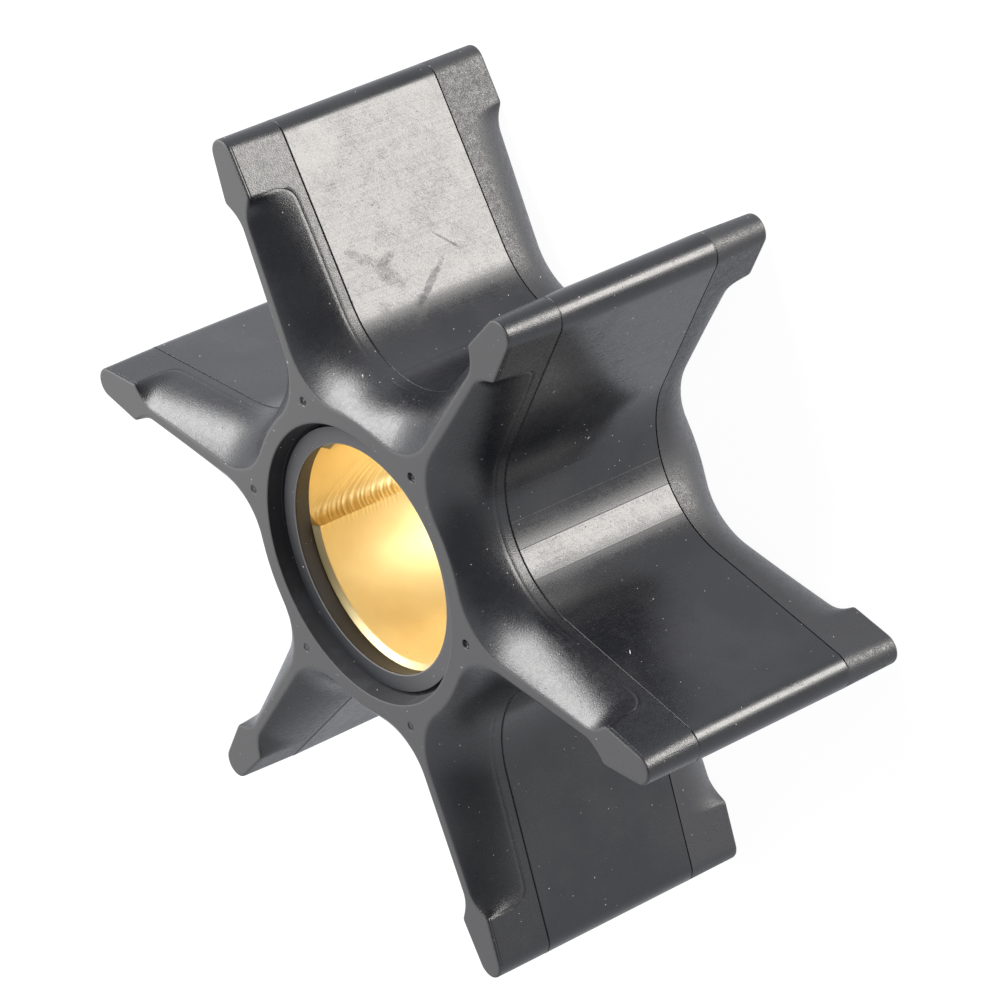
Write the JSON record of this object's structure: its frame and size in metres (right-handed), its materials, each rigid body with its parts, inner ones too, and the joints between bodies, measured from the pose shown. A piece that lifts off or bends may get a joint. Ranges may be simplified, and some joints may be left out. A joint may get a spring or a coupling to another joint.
{
  "type": "pump impeller",
  "caption": "Flexible pump impeller: a rubber star of straight beaded vanes with relieved ends, bonded round a brass hub insert with a keyed bore.",
  "frame": {"origin": "on the axis of the bore, in the plane of the lower end face", "axes": "+Z along the bore axis to the upper end face, the one with the pin marks; +Y through the tip of the first vane; +X between two vanes"},
  "size_m": [0.0562, 0.0646, 0.0231],
  "materials": {
    "rubber": "moulded, glossy between the parting lines, matte on the end faces",
    "brass": "machined, satin"
  },
  "bodies": {
    "root": {"vane_body": "rubber", "hub_insert": "brass"}
  },
  "joints": []
}
